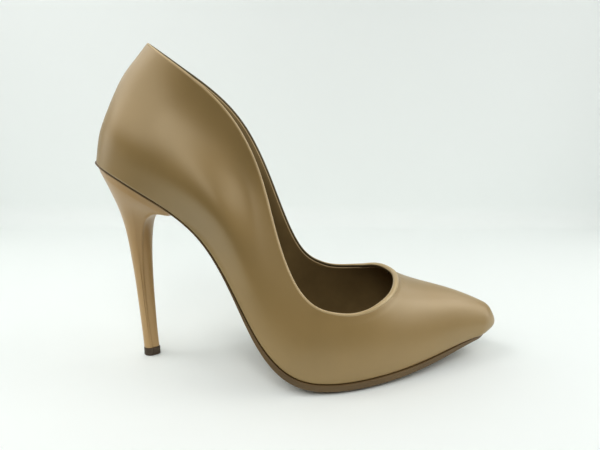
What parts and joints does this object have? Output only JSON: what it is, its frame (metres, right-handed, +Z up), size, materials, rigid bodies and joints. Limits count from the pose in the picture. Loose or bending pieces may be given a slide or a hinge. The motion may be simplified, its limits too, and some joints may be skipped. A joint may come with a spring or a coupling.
{
  "type": "stiletto pump",
  "caption": "Pointed-toe pump on a tall stiletto heel: a hollow upper with a low throat and a high back, a thin arched sole, an insole and a small top piece under the heel.",
  "frame": {"origin": "on the ground under the middle of the shoe", "axes": "+X towards the toe, +Y towards the inner side of the foot, +Z up"},
  "size_m": [0.2202, 0.0806, 0.166],
  "materials": {
    "upper": "smooth satin, nude tan",
    "insole": "matt dark brown sock",
    "outsole": "matt brown edge and tread",
    "heel": "covered in the upper's tan, slightly glossier",
    "top_piece": "matt dark brown"
  },
  "bodies": {
    "root": {"upper": "upper", "insole": "insole", "outsole": "outsole", "heel": "heel", "top_piece": "top_piece"}
  },
  "joints": []
}
